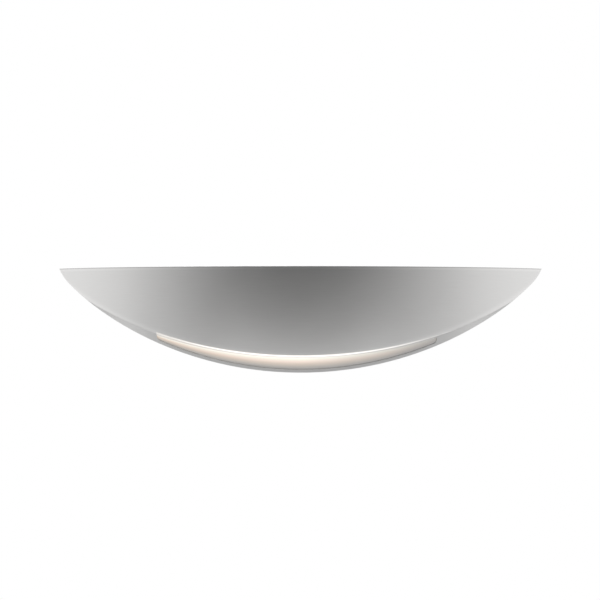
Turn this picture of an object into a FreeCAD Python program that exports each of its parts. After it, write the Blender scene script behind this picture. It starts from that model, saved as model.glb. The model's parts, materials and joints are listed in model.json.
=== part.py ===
import FreeCAD, Part
import math
import os

from FreeCAD import Vector

# An uplighter wall sconce: a folded and rolled sheet-steel shade that is open at the top and at the back, hung on
# a steel wall plate that carries the lampholder, the terminal block and the earth point.
# Millimetres. X runs along the wall, Y into the wall (the wall's face is Y = 0), Z is up.
# The origin is the middle of the two wall-fixing slots, on the wall's face.

# --- Shade ---
overall_width = 400.0
projection = 125.0
overall_height = 83.6          # rim to the lowest point of the underside
lip_height = 13.0              # the front face ends this far above that point
side_edge_inset = 10.0         # the underside's long arc ends this far in from each tip
side_edge_height = 12.6        # and this far below the rim
lip_slope = 24.0               # degrees below level, falling towards the wall
lip_tip_inset = 30.0           # the lip fades out this far in from each tip
sheet = 1.2
crease_radius = 1.5
rim_above_fixings = 40.0

# --- Light slot in the lip, and the strip that closes it ---
slot_left_inset = 56.3         # from the lip's left end
slot_right_inset = 62.4
slot_strip = 2.6               # sheet left between the slot and the underside
slot_front_land = 0.3          # the slot starts this far behind the front sheet's inner face
slot_corner_radius = 3.0
diffuser_thickness = 2.0
diffuser_overlap = 8.0         # past each end of the slot
diffuser_gap = 0.3
panel_gap = 0.25               # round the diffuser's raised panel, inside the slot
panel_recess = 0.3             # from the lip's outer face to the panel's face
clip_end_inset = 36.0          # the outer clips stand this far in from the slot's ends
clip_width = 12.0
clip_thickness = 0.8
clip_reach = 14.0              # tongue length over the diffuser
clip_foot = 15.0
clip_gap = 0.2
clip_stud_radius = 1.5
clip_stud_length = 6.0
clip_nut_width = 5.5
clip_nut_height = 2.4

# --- Wall plate ---
plate_thickness = 1.5
plate_below_rim = 12.0
plate_floor_gap = 3.0          # between the plate's curved foot and the shade's underside
plate_corner_radius = 4.0
flange_depth = 8.0
fixing_spacing = 200.0
fixing_inset = 20.0            # from each end of the plate
fixing_slot_length = 10.0
fixing_slot_radius = 2.3
ear_depth = 30.0
ear_floor_gap = 7.4
ear_rise = 12.0                # above the retaining screws' axis
ear_corner_radius = 5.0
hang_above_floor = 17.58       # the retaining screws' axis, over the underside at the ears
hang_setback = 14.0            # and in front of the wall
hang_slope = 6.0               # degrees that the ears' open slots fall towards the wall
hang_slot_clearance = 0.3
grommet_radius = 7.0
grommet_bore = 4.5
grommet_lip = 2.5
grommet_bevel = 0.9

# --- Tabs and retaining screws ---
tab_gap = 0.4
tab_thickness = 1.5
tab_foot = 15.0
tab_front = 26.0
tab_back = 3.0
weld_gap = 0.05
retaining_radius = 2.0
retaining_hole_clearance = 0.25
retaining_head_radius = 6.0
retaining_head_length = 7.0
retaining_head_gap = 0.3
retaining_collar_radius = 4.0
retaining_collar_length = 1.5
knurl_count = 18
knurl_depth = 0.5
captive_nut_width = 7.0
captive_nut_height = 3.2
captive_nut_gap = 0.3
thread_clearance = 0.05
thread_runout = 1.8            # screw end past the captive nut
driver_slot_width = 0.8
driver_slot_depth = 1.2

# --- Lamp, its axis along X ---
lamp_axis_setback = 60.0
lamp_floor_gap = 12.4
globe_radius = 30.0
neck_radius = 14.0
bulb_length = 105.0
cap_length = 27.0
cap_radius = 13.2
cap_wall = 0.6
cap_collar = 2.5
cap_tail = 3.0
cap_tail_radius = 11.0
thread_lead = 3.5              # from the cap's mouth to its first thread
thread_length = 14.4
insulator_depth = 2.0
insulator_rim = 0.6
contact_radius = 4.8
contact_height = 1.6

# --- Lampholder ---
arm_x = 74.0                   # the arm's face that the lampholder stands against
holder_gap = 0.3
mouth_inset = 1.5
mouth_lip = 1.2
sleeve_wall = 0.4
sleeve_flare = 0.7
skirt_radius = 19.6
skirt_wall = 3.0
skirt_past_contact = 3.0
flute_count = 12
flute_radius = 1.6
flute_depth = 0.9
flute_margin = 6.0
cover_back_radius = 12.0
cover_wall = 2.6
cover_length = 28.0
cover_shoulder = 13.0          # length of the cover's straight part
cover_taper_end = 2.0
insert_clearance = 0.2
insert_seat = 0.5
insert_thickness = 8.0
insert_chamfer = 1.5
spring_foot_radius = 4.0
spring_foot_thickness = 1.2
spring_post_radius = 1.6
spring_pip_radius = 2.6
nipple_radius = 5.0
nipple_bore = 3.5
nipple_clearance = 0.1
nipple_length = 14.0
nipple_inside = 5.0
nipple_nut_width = 14.0
nipple_nut_height = 4.0
arm_thickness = 1.5
arm_end_radius = 14.0
arm_foot_length = 18.0
arm_root_height = 16.0
arm_wire_gap = 4.9             # from the arm's root up to the neutral wire
arm_step = 20.0                # distance from the wall where the arm's top edge starts to rise
arm_screw_places = (6.5, 14.0)
arm_screw_head_radius = 3.5
arm_screw_head_height = 2.4

# --- Wiring ---
block_arm_gap = 16.0
block_length = 22.0
block_depth = 16.0
block_base = 4.0
block_margin = 6.0             # past the outer ways
tower_width = 8.0
tower_chamfer = 0.8
way_pitch = 10.0
way_top_gap = 12.0             # from the plate's top to the highest way
way_standoff = 7.0
way_bar_width = 4.9
way_bar_inset = 0.5
way_opening = 3.0
way_screw_radius = 1.25
way_screw_length = 5.0
way_screw_access = 1.9
way_screw_offset = 5.0
way_wire_depth = 8.0           # bared wire inside a way
block_screw_radius = 1.25
block_screw_head_radius = 2.0
block_screw_head_height = 1.8
wire_radius = 1.1
wire_bend = 5.5
wire_spread = 1.6              # the two lamp wires run this far from the lamp's axis
live_turn = 15.0
neutral_turn = 12.0
earth_arm_gap = 6.0
earth_floor_gap = 11.3
earth_bend = 2.6
earth_wire_rise = 1.5          # from the tag's barrel to the wire's last bend
stud_radius = 2.0
stud_length = 9.0
washer_radius = 4.5
washer_thickness = 0.8
washer_clearance = 0.15
tag_thickness = 0.8
tag_eye_radius = 4.2
tag_tongue_width = 3.2
tag_barrel_wall = 0.7
tag_barrel_foot = 5.6
tag_barrel_top = 11.0
earth_nut_width = 7.0
earth_nut_height = 3.2

overrun = 2.0                  # cutters pass what they cut by this much
through_all = 1000.0

# --- Sizes that follow from the ones above ---
half_width = overall_width / 2
rim = rim_above_fixings
floor = rim - overall_height
crease = floor + lip_height
front_radius = (half_width ** 2 + projection ** 2) / (2 * projection)
front_centre_y = front_radius - projection
arc_end_x = half_width - side_edge_inset
arc_rise = overall_height - side_edge_height
floor_radius = (arc_end_x ** 2 + arc_rise ** 2) / (2 * arc_rise)
floor_centre_z = floor + floor_radius
slope = math.radians(lip_slope)
lip_half_width = half_width - lip_tip_inset
slot_left = slot_left_inset - lip_half_width
slot_right = lip_half_width - slot_right_inset
clip_places = (slot_left + clip_end_inset, (slot_left + slot_right) / 2, slot_right - clip_end_inset)
tongue_inset = sheet + diffuser_gap + diffuser_thickness + clip_gap
plate_top = rim - plate_below_rim
plate_half = fixing_spacing / 2 + fixing_inset
lamp_y = -lamp_axis_setback
lamp_z = floor + sheet + lamp_floor_gap + globe_radius
skirt_end_x = arm_x - cover_length
insert_x = skirt_end_x + insert_seat
contact_x = skirt_end_x - skirt_past_contact
cap_start_x = contact_x - cap_length
thread_start_x = cap_start_x + thread_lead
thread_end_x = thread_start_x + thread_length
cap_end_x = thread_end_x + cap_tail
holder_mouth_x = cap_start_x + mouth_inset
globe_centre_x = contact_x - bulb_length + globe_radius
block_right = arm_x - block_arm_gap
block_left = block_right - block_length
block_middle = block_right - block_length / 2
block_seat = -plate_thickness - block_base
way_y = -plate_thickness - way_standoff
ways = tuple(plate_top - way_top_gap - way_pitch * i for i in (2, 1, 0))
arm_root_top = ways[1] - wire_radius - arm_wire_gap
arm_screw_z = arm_root_top - arm_root_height / 2
way_screw_places = (block_middle - way_screw_offset, block_middle + way_screw_offset)
block_screw_places = (ways[0] + way_pitch / 2, ways[1] + way_pitch / 2)
earth_x = arm_x - earth_arm_gap
tag_y = -plate_thickness - washer_thickness - tag_thickness
barrel_radius = wire_radius + thread_clearance + tag_barrel_wall
barrel_y = tag_y - wire_radius


# --- General shapes ---

def block(x0, x1, y0, y1, z0, z1):
    return Part.makeBox(x1 - x0, y1 - y0, z1 - z0, Vector(x0, y0, z0))


def rod(radius, start, end):
    along = end - start
    return Part.makeCylinder(radius, along.Length, start, along)


def ring(outer, inner, start, end):
    return rod(outer, start, end).cut(rod(inner, start, end))


def wall_rod(radius, x, z, y0, y1):
    """A rod square to the wall."""
    return rod(radius, Vector(x, y0, z), Vector(x, y1, z))


def prism(points, direction):
    """A closed outline of straight edges, extruded."""
    face = Part.Face(Part.makePolygon(points + [points[0]]))
    return face.extrude(direction)


def nut(width, height, bore, seat, direction):
    """A hexagon nut that stands on its seat and reaches along the direction."""
    axis = Vector(direction).normalize()
    side = axis.cross(Vector(0, 0, 1)) if abs(axis.z) < 0.9 else axis.cross(Vector(1, 0, 0))
    side.normalize()
    other = axis.cross(side)
    corner = width / math.sqrt(3)
    points = []
    for i in range(6):
        turn = math.radians(60 * i)
        points.append(seat + side * (corner * math.cos(turn)) + other * (corner * math.sin(turn)))
    body = prism(points, axis * height)
    return body.cut(rod(bore, seat - axis * overrun, seat + axis * (height + overrun)))


def turned(outline):
    """A turned piece on the lamp's axis: the outline is (distance along X, radius) pairs."""
    points = [on_lamp_axis(x, radius) for x, radius in outline]
    face = Part.Face(Part.makePolygon(points + [points[0]]))
    return face.revolve(on_lamp_axis(0), Vector(1, 0, 0), 360)


def on_lamp_axis(x, up=0.0):
    return Vector(x, lamp_y, lamp_z + up)


def mirrored(shape):
    return shape.mirror(Vector(0, 0, 0), Vector(1, 0, 0))


def edges_where(shape, test):
    return [edge for edge in shape.Edges if test(edge, edge.CenterOfMass)]


def near(a, b):
    return abs(a - b) < 0.05


def front_depth(x):
    """How far the front face stands out from the wall at x."""
    return math.sqrt(front_radius ** 2 - x ** 2) - front_centre_y


def floor_height(x, offset=0.0):
    """Height of the underside at x, or of the surface that far inside it."""
    return floor_centre_z - math.sqrt((floor_radius - offset) ** 2 - x ** 2)


# The lip is part of a round cylinder whose axis lies in the YZ plane and falls towards the wall at the lip's slope.
# Its radius is the one that brings the lip's two edges together at lip_half_width.
lip_fall = (floor_height(lip_half_width) - crease
            + (projection - front_depth(lip_half_width)) * math.tan(slope))
lip_sag = lip_fall * math.cos(slope)
lip_radius = (lip_half_width ** 2 + lip_sag ** 2) / (2 * lip_sag)
lip_axis_z = crease + lip_radius / math.cos(slope) - projection * math.tan(slope)

# Heights that follow the shade's underside.
hang_z = floor_height(plate_half) + hang_above_floor
ear_bottom = floor_height(plate_half) + sheet + ear_floor_gap
ear_top = hang_z + ear_rise
earth_z = floor_height(earth_x) + sheet + earth_floor_gap


def lip_back(x):
    """Y of the edge between the lip and the underside."""
    lip_at_wall = lip_axis_z - math.sqrt(lip_radius ** 2 - x ** 2) / math.cos(slope)
    return (lip_at_wall - floor_height(x)) / math.tan(slope)


# --- The shade's surfaces, each offset inwards by any distance ---

def front_drum(offset):
    foot = Vector(0, front_centre_y, rim - through_all / 2)
    return Part.makeCylinder(front_radius - offset, through_all, foot, Vector(0, 0, 1))


def lip_drum(offset):
    along = Vector(0, math.cos(slope), -math.sin(slope))
    start = Vector(0, 0, lip_axis_z) - along * (through_all / 2)
    return Part.makeCylinder(lip_radius - offset, through_all, start, along)


def side_arc():
    """Centre and radius of the small arc from the underside to each tip, tangent to the long arc."""
    lean = math.asin(arc_end_x / floor_radius)
    run = side_edge_inset
    rise = side_edge_height
    radius = (run ** 2 + rise ** 2) / (2 * (rise * math.cos(lean) - run * math.sin(lean)))
    centre_x = arc_end_x - radius * math.sin(lean)
    centre_z = rim - side_edge_height + radius * math.cos(lean)
    return centre_x, centre_z, radius, lean


def trough(offset, back, top):
    """All that lies above the underside and below a level top, from the front to the given Y."""
    centre_x, centre_z, side_radius, lean = side_arc()
    y = -projection - overrun
    long_radius = floor_radius - offset
    short_radius = side_radius - offset
    end_lean = math.acos((centre_z - min(top, centre_z)) / short_radius)

    def on_floor(angle):
        return Vector(long_radius * math.sin(angle), y, floor_centre_z - long_radius * math.cos(angle))

    def on_side(angle, sign):
        return Vector(sign * (centre_x + short_radius * math.sin(angle)), y, centre_z - short_radius * math.cos(angle))

    middle = (lean + end_lean) / 2
    edges = [Part.Arc(on_side(end_lean, -1), on_side(middle, -1), on_floor(-lean)).toShape(),
             Part.Arc(on_floor(-lean), on_floor(0), on_floor(lean)).toShape(),
             Part.Arc(on_floor(lean), on_side(middle, 1), on_side(end_lean, 1)).toShape()]
    corners = [on_side(end_lean, 1), on_side(end_lean, -1)]
    if top > centre_z:
        corners[1:1] = [Vector(corners[0].x, y, top), Vector(corners[1].x, y, top)]
    edges += [Part.makeLine(a, b) for a, b in zip(corners, corners[1:])]
    face = Part.Face(Part.Wire(edges))
    return face.extrude(Vector(0, back - y, 0))


def bowl(offset, back, top):
    """The space inside the front, the lip and the underside."""
    return trough(offset, back, top).common(front_drum(offset)).common(lip_drum(offset))


def lip_layer(inset, thickness):
    """A curved sheet that follows the lip at a distance inside its outer face."""
    return lip_drum(inset).cut(lip_drum(inset + thickness))


def floor_layer(inset, thickness, x0, x1, y0, y1):
    """A piece of curved sheet that follows the underside at a distance inside its outer face."""
    axis_start = Vector(0, y0, floor_centre_z)
    axis_end = Vector(0, y1, floor_centre_z)
    layer = ring(floor_radius - inset, floor_radius - inset - thickness, axis_start, axis_end)
    return layer.common(block(x0, x1, y0, y1, floor - overrun, rim))


def floor_up(x):
    """The direction square to the underside at x, and the point on its inner face there."""
    lean = math.asin(x / floor_radius)
    up = Vector(-math.sin(lean), 0, math.cos(lean))
    point = Vector(0, 0, floor_centre_z) - up * (floor_radius - sheet)
    return point, up


# --- Shade pieces ---

def slot_outline(layer, gap):
    """What lies of a layer within the slot, less a gap all round: it runs along the lip just behind the front sheet."""
    region = layer.common(front_drum(sheet + slot_front_land + gap)).common(trough(slot_strip + gap, 0, rim))
    region = region.common(block(slot_left + gap, slot_right - gap, -projection, 0, floor, rim))
    back_corners = edges_where(region, lambda edge, middle: (
        (near(middle.x, slot_left + gap) or near(middle.x, slot_right - gap))
        and near(middle.z, floor_height(middle.x, slot_strip + gap))))
    return region.makeFillet(slot_corner_radius - gap, back_corners)


def light_slot():
    return slot_outline(lip_layer(-overrun, sheet + 2 * overrun), 0.0)


def shade_shell():
    outer = bowl(0.0, 0.0, rim)
    fold = edges_where(outer, lambda edge, middle: (
        near(edge.BoundBox.YMin, -projection) and near(edge.BoundBox.ZMin, crease)
        and edge.Length > lip_half_width))
    outer = outer.makeFillet(crease_radius, fold)
    shell = outer.cut(bowl(sheet, overrun, rim + overrun))
    return shell.cut(light_slot())


def slot_diffuser():
    """A strip that lies behind the lip, with a raised panel that stands in the slot."""
    inset = sheet + diffuser_gap
    strip = lip_layer(inset, diffuser_thickness)
    strip = strip.common(front_drum(inset)).common(trough(inset + diffuser_gap, 0, rim))
    ends = block(slot_left - diffuser_overlap, slot_right + diffuser_overlap, -projection, 0, floor, rim)
    panel = slot_outline(lip_layer(panel_recess, inset + diffuser_thickness / 2 - panel_recess), panel_gap)
    return strip.common(ends).fuse(panel).removeSplitter()


def clip_fold(x):
    """Y of the fold between a clip's tongue and its foot."""
    return lip_back(x) + tongue_inset / math.sin(slope) - (sheet + weld_gap) / math.tan(slope)


def clip_stud_seat(x):
    """The point on the underside's inner face under a clip's stud, and the stud's direction."""
    point, up = floor_up(x)
    point.y = clip_fold(x) + clip_foot - clip_width / 2
    return point, up


def diffuser_clip(x):
    """A spring clip: its foot lies on the underside, and its tongue bears on the diffuser."""
    left = x - clip_width / 2
    right = x + clip_width / 2
    fold = clip_fold(x)
    tongue = lip_layer(tongue_inset, clip_thickness).common(trough(sheet + weld_gap, 0, rim))
    tongue = tongue.common(block(left, right, fold - clip_reach, fold + clip_foot, floor, rim))
    foot = floor_layer(sheet + weld_gap, clip_thickness, left, right, fold - clip_width, fold + clip_foot)
    clip = tongue.fuse(foot.common(lip_drum(tongue_inset))).removeSplitter()
    seat, up = clip_stud_seat(x)
    return clip.cut(rod(clip_stud_radius + nipple_clearance, seat - up * overrun, seat + up * overrun))


def clip_stud(x):
    seat, up = clip_stud_seat(x)
    return rod(clip_stud_radius, seat + up * weld_gap, seat + up * clip_stud_length)


def clip_nut(x):
    seat, up = clip_stud_seat(x)
    seat = seat + up * (2 * weld_gap + clip_thickness)
    return nut(clip_nut_width, clip_nut_height, clip_stud_radius + thread_clearance, seat, up)


def tab():
    """The right-hand tab, folded from sheet and welded to the underside: it carries the retaining screw."""
    x0 = plate_half + tab_gap
    x1 = x0 + tab_thickness
    leg = block(x0, x1, -tab_front, -tab_back, floor, ear_top)
    corners = edges_where(leg, lambda edge, middle: near(middle.z, ear_top) and near(edge.Length, tab_thickness))
    leg = leg.makeFillet(ear_corner_radius, corners).common(trough(sheet + weld_gap, 0, rim))
    foot = floor_layer(sheet + weld_gap, tab_thickness, x0, x0 + tab_foot, -tab_front, -tab_back)
    hole = rod(retaining_radius + retaining_hole_clearance,
               Vector(x0 - overrun, -hang_setback, hang_z), Vector(x1 + overrun, -hang_setback, hang_z))
    return leg.fuse(foot).removeSplitter().cut(hole)


def captive_nut_x():
    """X of the right-hand captive nut's inner face."""
    return plate_half - plate_thickness - captive_nut_gap - captive_nut_height


def captive_nut():
    """The right-hand nut, inside the ear."""
    seat = Vector(captive_nut_x(), -hang_setback, hang_z)
    return nut(captive_nut_width, captive_nut_height, retaining_radius + thread_clearance, seat, Vector(1, 0, 0))


def retaining_screw():
    """The right-hand screw, with a knurled head for the fingers and a slot for a driver."""
    head_start = plate_half + tab_gap + tab_thickness + retaining_head_gap
    knurl_start = head_start + retaining_collar_length
    head_end = head_start + retaining_head_length
    shank_end = captive_nut_x() - thread_runout
    points = []
    for i in range(2 * knurl_count):
        radius = retaining_head_radius - (knurl_depth if i % 2 else 0.0)
        turn = math.pi * i / knurl_count
        points.append(Vector(knurl_start, radius * math.cos(turn) - hang_setback, hang_z + radius * math.sin(turn)))
    knurl = prism(points, Vector(head_end - knurl_start, 0, 0))
    axis = Vector(0, -hang_setback, hang_z)
    collar = rod(retaining_collar_radius, axis + Vector(head_start, 0, 0), axis + Vector(knurl_start, 0, 0))
    shank = rod(retaining_radius, axis + Vector(shank_end, 0, 0), axis + Vector(knurl_start, 0, 0))
    reach = retaining_head_radius + overrun
    driver_slot = block(head_end - driver_slot_depth, head_end + overrun, -hang_setback - reach, -hang_setback + reach,
                        hang_z - driver_slot_width / 2, hang_z + driver_slot_width / 2)
    return knurl.fuse([collar, shank]).removeSplitter().cut(driver_slot)


# --- Wall plate ---

def fixing_slot(x):
    half_run = fixing_slot_length / 2 - fixing_slot_radius
    y0 = -plate_thickness - overrun
    ends = [wall_rod(fixing_slot_radius, x - half_run, 0, y0, overrun),
            wall_rod(fixing_slot_radius, x + half_run, 0, y0, overrun)]
    bar = block(x - half_run, x + half_run, y0, overrun, -fixing_slot_radius, fixing_slot_radius)
    return bar.fuse(ends)


def ear():
    """The right-hand ear, bent forwards, with a slot that is open at the front and falls towards the wall."""
    x1 = plate_half
    x0 = x1 - plate_thickness
    blank = block(x0, x1, -ear_depth, 0, ear_bottom, ear_top)
    corners = edges_where(blank, lambda edge, middle: near(middle.y, -ear_depth) and near(edge.Length, plate_thickness))
    blank = blank.makeFillet(ear_corner_radius, corners)
    radius = retaining_radius + hang_slot_clearance
    closed_end = Vector(x0 - overrun, -hang_setback, hang_z)
    across = Vector(plate_thickness + 2 * overrun, 0, 0)
    run = block(x0 - overrun, x1 + overrun, -hang_setback - ear_depth, -hang_setback, hang_z - radius, hang_z + radius)
    run.rotate(closed_end, Vector(1, 0, 0), -hang_slope)
    return blank.cut(run.fuse(rod(radius, closed_end, closed_end + across)))


def plate_web():
    """The flat of the plate, its foot curved to follow the shade's underside."""
    reach = floor_radius - sheet - plate_floor_gap
    disc = wall_rod(reach, 0, floor_centre_z, -plate_thickness, 0)
    web = disc.common(block(-plate_half, plate_half, -plate_thickness, 0, floor, plate_top))
    corners = edges_where(web, lambda edge, middle: (
        near(abs(middle.x), plate_half) and near(edge.Length, plate_thickness)))
    return web.makeFillet(plate_corner_radius, corners)


def top_flange():
    half = plate_half - 2 * plate_corner_radius
    flange = block(-half, half, -plate_thickness - flange_depth, 0, plate_top - plate_thickness, plate_top)
    bend = edges_where(flange, lambda edge, middle: near(middle.y, 0) and near(middle.z, plate_top))
    return flange.makeFillet(plate_thickness * 0.9, bend)


def wall_plate():
    plate = plate_web().fuse([top_flange(), ear(), mirrored(ear())]).removeSplitter()
    holes = [(0.0, 0.0, grommet_radius), (earth_x, earth_z, stud_radius)]
    holes += [(arm_x + x, arm_screw_z, stud_radius) for x in arm_screw_places]
    holes += [(block_middle, z, block_screw_radius) for z in block_screw_places]
    cutters = [fixing_slot(-fixing_spacing / 2), fixing_slot(fixing_spacing / 2)]
    for x, z, radius in holes:
        cutters.append(wall_rod(radius + thread_clearance, x, z, -plate_thickness - overrun, overrun))
    return plate.cut(cutters)


def cable_grommet():
    front = -plate_thickness - grommet_lip
    lip = wall_rod(grommet_radius + grommet_lip, 0, 0, front, -plate_thickness)
    lip = lip.makeChamfer(grommet_bevel, edges_where(lip, lambda edge, middle: near(edge.BoundBox.YMax, front)))
    body = wall_rod(grommet_radius, 0, 0, -plate_thickness, 0)
    return lip.fuse(body).removeSplitter().cut(wall_rod(grommet_bore, 0, 0, front - overrun, overrun))


# --- Lampholder arm ---

def lampholder_arm():
    x0 = arm_x
    root_y = -plate_thickness
    root_bottom = arm_root_top - arm_root_height
    points = [Vector(x0, root_y, root_bottom), on_lamp_axis(x0, -arm_end_radius), on_lamp_axis(x0, arm_end_radius),
              Vector(x0, lamp_y + arm_end_radius, lamp_z + arm_end_radius), Vector(x0, -arm_step, arm_root_top),
              Vector(x0, root_y, arm_root_top)]
    leg = prism(points, Vector(arm_thickness, 0, 0))
    leg = leg.fuse(rod(arm_end_radius, on_lamp_axis(x0), on_lamp_axis(x0 + arm_thickness)))
    foot = block(x0, x0 + arm_foot_length, root_y - arm_thickness, root_y, root_bottom, arm_root_top)
    arm = leg.fuse(foot).removeSplitter()
    bend = edges_where(arm, lambda edge, middle: (
        near(edge.Length, arm_root_height) and near(middle.x, x0) and near(middle.y, root_y)))
    arm = arm.makeFillet(arm_thickness * 0.9, bend)
    holes = [rod(nipple_radius + nipple_clearance, on_lamp_axis(x0 - overrun), on_lamp_axis(x0 + 2 * overrun))]
    for x in arm_screw_places:
        holes.append(wall_rod(stud_radius + nipple_clearance, arm_x + x, arm_screw_z,
                              root_y - arm_thickness - overrun, root_y + overrun))
    return arm.cut(holes)


def pan_screw(x, z, seat_y, radius, head_radius, head_height):
    """A pan-head screw that ends level with the wall plate's back, with a driver slot."""
    top_y = seat_y - head_height
    head = wall_rod(head_radius, x, z, top_y, seat_y)
    head = head.makeChamfer(head_height / 3, edges_where(head, lambda edge, middle: near(edge.BoundBox.YMax, top_y)))
    reach = head_radius + overrun
    driver_slot = block(x - reach, x + reach, top_y - overrun, top_y + head_height / 2,
                        z - driver_slot_width / 2, z + driver_slot_width / 2)
    return head.cut(driver_slot).fuse(wall_rod(radius, x, z, seat_y, 0)).removeSplitter()


def arm_screws():
    seat = -plate_thickness - arm_thickness
    return [pan_screw(arm_x + x, arm_screw_z, seat, stud_radius, arm_screw_head_radius, arm_screw_head_height)
            for x in arm_screw_places]


# --- Bulb ---

def bulb_glass():
    """The frosted envelope, closed: the globe's outline runs into the neck by one tangent arc."""
    run = cap_start_x - globe_centre_x
    flare = (run ** 2 + neck_radius ** 2 - globe_radius ** 2) / (2 * (globe_radius - neck_radius))
    joint_lean = math.atan2(neck_radius + flare, run)

    def on_globe(angle):
        return on_lamp_axis(globe_centre_x + globe_radius * math.cos(angle), globe_radius * math.sin(angle))

    def on_flare(angle):
        return on_lamp_axis(cap_start_x - flare * math.cos(angle), neck_radius + flare * (1 - math.sin(angle)))

    tip = on_globe(math.pi)
    joint = on_globe(joint_lean)
    end = on_flare(math.pi / 2)
    foot = on_lamp_axis(cap_start_x)
    outline = [Part.Arc(tip, on_globe((math.pi + joint_lean) / 2), joint).toShape(),
               Part.Arc(joint, on_flare((joint_lean + math.pi / 2) / 2), end).toShape(),
               Part.makeLine(end, foot), Part.makeLine(foot, tip)]
    return Part.Face(Part.Wire(outline)).revolve(foot, Vector(1, 0, 0), 360)


def bulb_cap():
    """A thin shell; its barrel has the radius of the thread's crests."""
    outside = [(cap_start_x, cap_radius), (thread_end_x, cap_radius), (cap_end_x, cap_tail_radius)]
    inside = [(x, radius - cap_wall) for x, radius in reversed(outside)]
    return turned(outside + inside)


def bulb_insulator():
    wide = cap_tail_radius - cap_wall - thread_clearance
    start = cap_end_x - insulator_depth
    end = contact_x - contact_height
    return turned([(start, 0), (start, wide), (cap_end_x, wide), (end, contact_radius + insulator_rim), (end, 0)])


def bulb_contact():
    start = contact_x - contact_height
    return turned([(start, 0), (start, contact_radius), (contact_x, contact_radius / 2), (contact_x, 0)])


# --- Lampholder ---

def thread_sleeve():
    """The brass shell that the bulb's cap screws into, standing on the insert's face."""
    bore = cap_radius + holder_gap
    mouth_x = cap_start_x + cap_collar
    mouth = bore + sleeve_flare
    return turned([(mouth_x, mouth), (thread_start_x, bore), (insert_x, bore), (insert_x, bore + sleeve_wall),
                   (thread_start_x, bore + sleeve_wall), (mouth_x, mouth + sleeve_wall)])


def lampholder_skirt():
    bore = skirt_radius - skirt_wall
    shell = turned([(holder_mouth_x, bore - mouth_lip), (holder_mouth_x, skirt_radius - mouth_lip),
                    (holder_mouth_x + mouth_lip, skirt_radius), (skirt_end_x, skirt_radius), (skirt_end_x, bore),
                    (holder_mouth_x + mouth_lip, bore)])
    flutes = []
    for i in range(flute_count):
        turn = 2 * math.pi * i / flute_count
        reach = skirt_radius + flute_radius - flute_depth
        out = Vector(0, reach * math.cos(turn), reach * math.sin(turn))
        flutes.append(rod(flute_radius, on_lamp_axis(holder_mouth_x + flute_margin) + out,
                          on_lamp_axis(skirt_end_x - overrun) + out))
    return shell.cut(flutes)


def lampholder_cover():
    shoulder_x = skirt_end_x + cover_shoulder
    bore = skirt_radius - cover_wall
    outside = [(skirt_end_x, skirt_radius), (shoulder_x, skirt_radius), (arm_x - cover_taper_end, cover_back_radius),
               (arm_x, cover_back_radius)]
    inside = [(arm_x, nipple_radius + nipple_clearance), (arm_x - cover_wall, nipple_radius + nipple_clearance),
              (arm_x - cover_wall, cover_back_radius - cover_wall), (shoulder_x, bore), (skirt_end_x, bore)]
    return turned(outside + inside)


def lampholder_insert():
    radius = skirt_radius - cover_wall - insert_clearance
    end = insert_x + insert_thickness
    pocket = spring_foot_radius + insert_clearance
    return turned([(insert_x, pocket), (insert_x, radius), (end - insert_chamfer, radius),
                   (end, radius - insert_chamfer), (end, 0), (insert_x + spring_foot_thickness, 0),
                   (insert_x + spring_foot_thickness, pocket)])


def centre_contact():
    """A pip that meets the bulb's contact, on a post whose foot lies in the insert's pocket."""
    start = contact_x + holder_gap
    pip_end = start + spring_foot_thickness
    return turned([(start, 0), (start, spring_pip_radius / 2), (pip_end, spring_pip_radius),
                   (pip_end, spring_post_radius), (insert_x, spring_post_radius), (insert_x, spring_foot_radius),
                   (insert_x + spring_foot_thickness, spring_foot_radius), (insert_x + spring_foot_thickness, 0)])


def lampholder_nipple():
    start = arm_x - nipple_inside
    return ring(nipple_radius, nipple_bore, on_lamp_axis(start), on_lamp_axis(start + nipple_length))


def nipple_nut():
    seat = on_lamp_axis(arm_x + arm_thickness)
    return nut(nipple_nut_width, nipple_nut_height, nipple_radius + thread_clearance, seat, Vector(1, 0, 0))


# --- Wiring ---

def way_channel(x0, x1, z, width):
    half = width / 2
    return block(x0, x1, way_y - half, way_y + half, z - half, z + half)


def terminal_block():
    """A moulded strip: a base, and a tower round each way with two shafts down to its screws."""
    front = -plate_thickness - block_depth
    body = block(block_left, block_right, block_seat, -plate_thickness, ways[0] - block_margin, ways[-1] + block_margin)
    towers = []
    cutters = []
    for z in ways:
        tower = block(block_left, block_right, front, block_seat, z - tower_width / 2, z + tower_width / 2)
        crown = edges_where(tower, lambda edge, middle: near(middle.y, front))
        towers.append(tower.makeChamfer(tower_chamfer, crown))
        cutters.append(way_channel(block_left - overrun, block_right + overrun, z, way_bar_width + 2 * thread_clearance))
        cutters += [wall_rod(way_screw_access, x, z, front - overrun, way_y) for x in way_screw_places]
    for z in block_screw_places:
        cutters.append(wall_rod(block_screw_radius + nipple_clearance, block_middle, z, front, overrun))
        cutters.append(wall_rod(block_screw_head_radius + insert_clearance, block_middle, z, front - overrun, block_seat))
    return body.fuse(towers).removeSplitter().cut(cutters)


def terminal_bars():
    """One square brass tube in each way, drilled on its front for two screws."""
    bars = []
    for z in ways:
        x0 = block_left + way_bar_inset
        x1 = block_right - way_bar_inset
        bar = way_channel(x0, x1, z, way_bar_width)
        holes = [way_channel(x0 - overrun, x1 + overrun, z, way_opening)]
        holes += [wall_rod(way_screw_radius + thread_clearance, x, z, way_y - way_bar_width, way_y)
                  for x in way_screw_places]
        bars.append(bar.cut(holes))
    return bars


def terminal_screws():
    screws = []
    end_y = way_y - wire_radius - washer_clearance
    top_y = end_y - way_screw_length
    for z in ways:
        for x in way_screw_places:
            reach = way_screw_radius + overrun
            driver_slot = block(x - reach, x + reach, top_y - overrun, top_y + driver_slot_width,
                                z - driver_slot_width / 2, z + driver_slot_width / 2)
            screws.append(wall_rod(way_screw_radius, x, z, top_y, end_y).cut(driver_slot))
    return screws


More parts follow.
